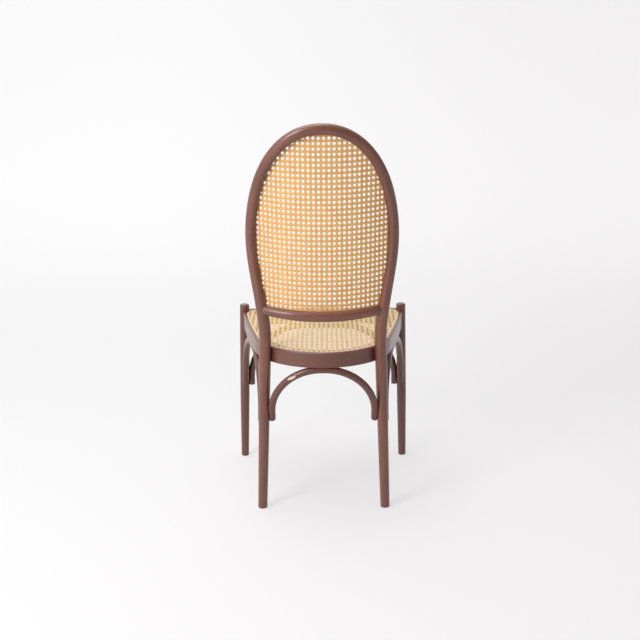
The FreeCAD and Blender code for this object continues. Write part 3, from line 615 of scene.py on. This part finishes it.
lean_up = np.array([0, math.sin(BACK_LEAN), math.cos(BACK_LEAN)])
lean_out = np.array([0, math.cos(BACK_LEAN), -math.sin(BACK_LEAN)])
sideways = np.array([1.0, 0, 0])
back_axis = np.array([0, BACK_Y, RAIL_HEIGHT]) - lean_out * BACK_RADIUS


def lay_back(places, heights):
    """Bends flat places round the leaning cylinder; heights point to its axis."""
    radius = BACK_RADIUS - BACK_DEPTH
    angle = places[:, 0] / radius
    out = (radius - heights)[:, None]
    around = np.sin(angle)[:, None] * sideways + np.cos(angle)[:, None] * lean_out
    return back_axis + around * out + places[:, 1][:, None] * lean_up


def unroll_back(points):
    """The flat places of points on the bent panel."""
    rest = points - back_axis
    angle = np.arctan2(rest[:, 0], rest @ lean_out)
    return np.stack([angle * (BACK_RADIUS - BACK_DEPTH), rest @ lean_up], 1)


def corners(node):
    """Every corner point of a solid from the CAD model."""
    return np.array([v.co for v in nodes[node].data.vertices])


back_outline = hull(unroll_back(corners("back_cane")))
print("back panel, unrolled:", np.round(np.ptp(back_outline, axis=0) * 1000), "mm")
for family in FAMILIES:
    weave("back_cane", family, BACK_PITCH, BACK_ORIGIN, back_outline, lay_back, back_cane)

# %% [markdown]
# ## The woven seat
# The seat is flat, so its weave only needs a height. It lies in the shallow rebate of the ring,
# and its outline again comes from the solid that it replaces.

# %% Lay the seat
SEAT_CANE_HEIGHT = 0.450
SEAT_PITCH = np.array([0.0132, 0.0127])
SEAT_ORIGIN = np.array([0.0030, 0.0])


def lay_seat(places, heights):
    """Lifts flat places to the seat's height."""
    return np.column_stack([places, SEAT_CANE_HEIGHT + heights])


seat_outline = hull(corners("seat_cane")[:, :2])
for family in FAMILIES:
    weave("seat_cane", family, SEAT_PITCH, SEAT_ORIGIN, seat_outline, lay_seat, seat_cane)

# %% [markdown]
# ## Reed, dowels and screws
# The reed that wedges the webbing into its groove is the pale core of rattan. The screws are
# steel that has browned with age. The two dowels are bare beech, hidden where the crossrail
# meets the hoop. All three are plain stuff, so soft noise between two colours is enough.

# %% Materials of the small pieces
PALE_REED = (0.80, 0.67, 0.46, 1)
DEEP_REED = (0.62, 0.46, 0.27, 1)
REED_MOTTLE = 180.0
REED_FIBRE = 400.0
REED_FIBRE_RANGE = (0.2, 0.8)
REED_GLOSS = (0.45, 0.65)
DARK_STEEL = (0.13, 0.06, 0.045, 1)
BROWN_STEEL = (0.24, 0.12, 0.08, 1)
STEEL_STAIN = 900.0
STEEL_STAIN_RANGE = (0.3, 0.7)
STEEL_GLOSS = (0.32, 0.55)
PALE_BEECH = (0.55, 0.36, 0.20, 1)
DEEP_BEECH = (0.42, 0.25, 0.13, 1)
BEECH_MOTTLE = 300.0

reed, tree, shader = new_material("pale_reed")
where = add(tree, "TexCoord").outputs["Object"]
mottle = noise(tree, where, REED_MOTTLE)
tree.links.new(blend(tree, mottle, PALE_REED, DEEP_REED), shader["Base Color"])
fibre = noise(tree, where, REED_FIBRE)
gloss = spread(tree, fibre, *REED_FIBRE_RANGE, *REED_GLOSS)
tree.links.new(gloss, shader["Roughness"])

steel, tree, shader = new_material("browned_steel")
where = add(tree, "TexCoord").outputs["Object"]
stains = noise(tree, where, STEEL_STAIN, detail=4.0)
tree.links.new(blend(tree, stains, DARK_STEEL, BROWN_STEEL), shader["Base Color"])
gloss = spread(tree, stains, *STEEL_STAIN_RANGE, *STEEL_GLOSS)
tree.links.new(gloss, shader["Roughness"])
shader["Metallic"].default_value = 1.0

dowel, tree, shader = new_material("bare_beech")
where = add(tree, "TexCoord").outputs["Object"]
mottle = noise(tree, where, BEECH_MOTTLE)
tree.links.new(blend(tree, mottle, PALE_BEECH, DEEP_BEECH), shader["Base Color"])

for name, node in nodes.items():
    for ending, finish in (("reed", reed), ("screws", steel), ("dowels", dowel)):
        if name.endswith(ending):
            dress(node, finish)
print("finishes:", reed.name, steel.name, dowel.name)

# %% [markdown]
# ## Studio
# The chair stands on a white sweep: a floor that curves up into a backdrop, so no edge shows.
# White surroundings give lacquered wood its pale sheen along the edges. A photographer lights
# such a wall until it burns out to white. More light would bleach the chair too, so the paper
# glows instead, and only for rays that come from the camera or from a gloss that mirrors it.

# %% The sweep
SWEEP_HALF_WIDTH = 6.0
SWEEP_FRONT = 3.2
SWEEP_BACK = -2.4
SWEEP_RADIUS = 1.6
SWEEP_TOP = 4.0
SWEEP_STEPS = 12

profile = [(SWEEP_FRONT, 0.0), (SWEEP_BACK, 0.0)]
for i in range(1, SWEEP_STEPS + 1):
    angle = math.pi / 2 * i / SWEEP_STEPS
    y = SWEEP_BACK - SWEEP_RADIUS * math.sin(angle)
    profile.append((y, SWEEP_RADIUS * (1 - math.cos(angle))))
profile.append((SWEEP_BACK - SWEEP_RADIUS, SWEEP_TOP))
sweep_points = [(x, y, z) for y, z in profile for x in (-SWEEP_HALF_WIDTH, SWEEP_HALF_WIDTH)]
sweep_faces = [(2 * i, 2 * i + 1, 2 * i + 3, 2 * i + 2) for i in range(len(profile) - 1)]
sweep_mesh = bpy.data.meshes.new("sweep")
sweep_mesh.from_pydata(sweep_points, [], sweep_faces)
sweep_mesh.shade_smooth()
sweep = bpy.data.objects.new("sweep", sweep_mesh)
bpy.context.scene.collection.objects.link(sweep)
print("sweep:", len(sweep_faces), "faces")

# %% The white paper
PAPER = (0.45, 0.445, 0.45, 1)
PAPER_SEEN = (0.32, 0.313, 0.318, 1)
GLOW_LEFT = (1.0, 1.0, 1.0, 1)
GLOW_RIGHT = (0.92, 0.91, 0.92, 1)
GLOW_FLOOR = 0.575
GLOW_WALL = 0.74
GLOW_SIDE = 1.2
GLOW_WALL_Y = -3.6
GLOW_FLOOR_Y = -0.6

paper, tree, shader = new_material("white_paper")
place = add(tree, "TexCoord").outputs["Object"]
across, backward = add(tree, "SeparateXYZ", {0: place}).outputs[:2]
path = add(tree, "LightPath").outputs
seen = maths(tree, "MAXIMUM", path["Is Camera Ray"], path["Is Glossy Ray"])
tree.links.new(blend(tree, seen, PAPER, PAPER_SEEN), shader["Base Color"])
glow = blend(tree, spread(tree, across, -GLOW_SIDE, GLOW_SIDE), GLOW_RIGHT, GLOW_LEFT)
tree.links.new(glow, shader["Emission Color"])
strength = spread(tree, backward, GLOW_WALL_Y, GLOW_FLOOR_Y, GLOW_WALL, GLOW_FLOOR)
tree.links.new(maths(tree, "MULTIPLY", strength, seen), shader["Emission Strength"])
shader["Roughness"].default_value = 0.9
shader["Specular IOR Level"].default_value = 0.1
sweep_mesh.materials.append(paper)
print("paper glow:", GLOW_FLOOR, "on the floor,", GLOW_WALL, "on the wall")

# %% [markdown]
# ## Light
# Daylight comes from a large window on the picture's left, beside the camera, and a soft box
# hangs over the chair. The world fills the shadows: brighter on the window's side and from above,
# weaker behind the camera. To the camera itself it is as white as the room.

# %% The lamps
OVERHEAD_PLACE = (0.5, -0.2, 3.2)
OVERHEAD_AIM = (0, 0, 0.5)
OVERHEAD_SIZE = (2.6, 2.0)
OVERHEAD_POWER = 40
WINDOW_PLACE = (2.5, 2.6, 1.9)
WINDOW_AIM = (0, 0, 0.6)
WINDOW_SIZE = (1.4, 2.2)
WINDOW_POWER = 88


def area_lamp(name, place, target, size, power):
    """A soft box that faces its target."""
    data = bpy.data.lights.new(name, "AREA")
    data.shape = "RECTANGLE"
    data.size, data.size_y = size
    data.energy = power
    lamp = bpy.data.objects.new(name, data)
    lamp.location = place
    aim = Vector(target) - Vector(place)
    lamp.rotation_euler = aim.to_track_quat("-Z", "Y").to_euler()
    bpy.context.scene.collection.objects.link(lamp)
    print(name, "at", place, "with", power, "W")


area_lamp("overhead_lamp", OVERHEAD_PLACE, OVERHEAD_AIM, OVERHEAD_SIZE, OVERHEAD_POWER)
area_lamp("window_lamp", WINDOW_PLACE, WINDOW_AIM, WINDOW_SIZE, WINDOW_POWER)

# %% The world
WORLD_FAR = 0.80
WORLD_NEAR = 0.45
SHADE_SIDE = 0.58
WINDOW_SIDE = 1.18
LOW_SKY = 0.85
HIGH_SKY = 1.15
WHITE_ROOM = 0.92
EDGE_OF_SKY = 0.9

world = bpy.data.worlds.new("studio")
world.use_nodes = True
bpy.context.scene.world = world
tree = world.node_tree
direction = add(tree, "TexCoord").outputs["Generated"]
toward = add(tree, "SeparateXYZ", {0: direction}).outputs
near_level = spread(tree, toward["Y"], 0, EDGE_OF_SKY, WORLD_FAR, WORLD_NEAR)
side_level = spread(tree, toward["X"], -EDGE_OF_SKY, EDGE_OF_SKY, SHADE_SIDE, WINDOW_SIDE)
high_level = spread(tree, toward["Z"], 0, EDGE_OF_SKY, LOW_SKY, HIGH_SKY)
level = maths(tree, "MULTIPLY", maths(tree, "MULTIPLY", near_level, side_level), high_level)
seen = add(tree, "LightPath").outputs["Is Camera Ray"]
level = maths(tree, "MAXIMUM", level, maths(tree, "MULTIPLY", seen, WHITE_ROOM))
tree.links.new(level, tree.nodes["Background"].inputs["Strength"])
tree.nodes["Background"].inputs["Color"].default_value = (1, 1, 1, 1)
bpy.context.scene.view_settings.view_transform = "Standard"
print("world level:", WORLD_NEAR, "near the camera,", WORLD_FAR, "beyond the chair")
